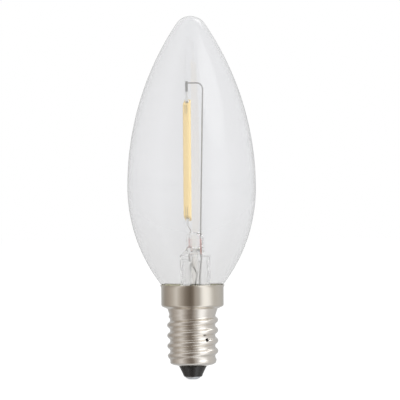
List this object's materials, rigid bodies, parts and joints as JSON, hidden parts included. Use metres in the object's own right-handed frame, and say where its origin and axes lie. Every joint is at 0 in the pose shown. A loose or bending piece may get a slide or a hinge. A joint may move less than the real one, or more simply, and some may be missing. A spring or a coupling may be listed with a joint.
{
  "type": "candle bulb",
  "caption": "Clear glass candle-shaped light bulb with an upright filament on a glass stem and a small screw cap.",
  "frame": {"origin": "middle of the centre contact's foot, on the bulb's axis", "axes": "+Z runs along the bulb's axis from the contact to the tip of the glass, -Y is the front"},
  "size_m": [0.035, 0.035, 0.099],
  "materials": {
    "clear_glass": "clear blown glass, smooth",
    "stem_glass": "clear glass tube, drawn and pressed",
    "nickel_plate": "satin nickel plate on brass sheet",
    "black_glass": "opaque black glass, glossy",
    "solder": "cast solder, satin",
    "cement": "baked capping cement",
    "nickel_wire": "drawn nickel wire",
    "copper_clad_wire": "copper-clad wire, oxidised pink",
    "terminal_metal": "stamped sheet metal",
    "ceramic": "white ceramic",
    "chip": "bare semiconductor chip",
    "phosphor_silicone": "silicone filled with yellow phosphor",
    "board": "fibre board",
    "component_black": "moulded component",
    "capacitor_can": "drawn aluminium can",
    "resistor_coat": "lacquered component",
    "sleeve_plastic": "thin insulating plastic"
  },
  "bodies": {
    "root": {"glass_envelope": "clear_glass", "stem_glass": "stem_glass", "exhaust_tube": "stem_glass", "support_wire": "nickel_wire", "short_lead_wire": "nickel_wire", "seal_wire_front": "copper_clad_wire", "seal_wire_back": "copper_clad_wire", "outer_lead_front": "nickel_wire", "outer_lead_back": "nickel_wire", "filament_strip": "ceramic", "led_chips": "chip", "phosphor_coat": "phosphor_silicone", "terminal_top": "terminal_metal", "terminal_bottom": "terminal_metal", "cap_shell": "nickel_plate", "cap_insulator": "black_glass", "centre_contact": "solder", "capping_cement": "cement", "driver_board": "board", "bridge_rectifier": "component_black", "driver_chip": "component_black", "smoothing_capacitor": "capacitor_can", "fusible_resistor": "resistor_coat", "contact_wire": "nickel_wire", "shell_wire": "nickel_wire", "driver_sleeve": "sleeve_plastic"}
  },
  "joints": []
}
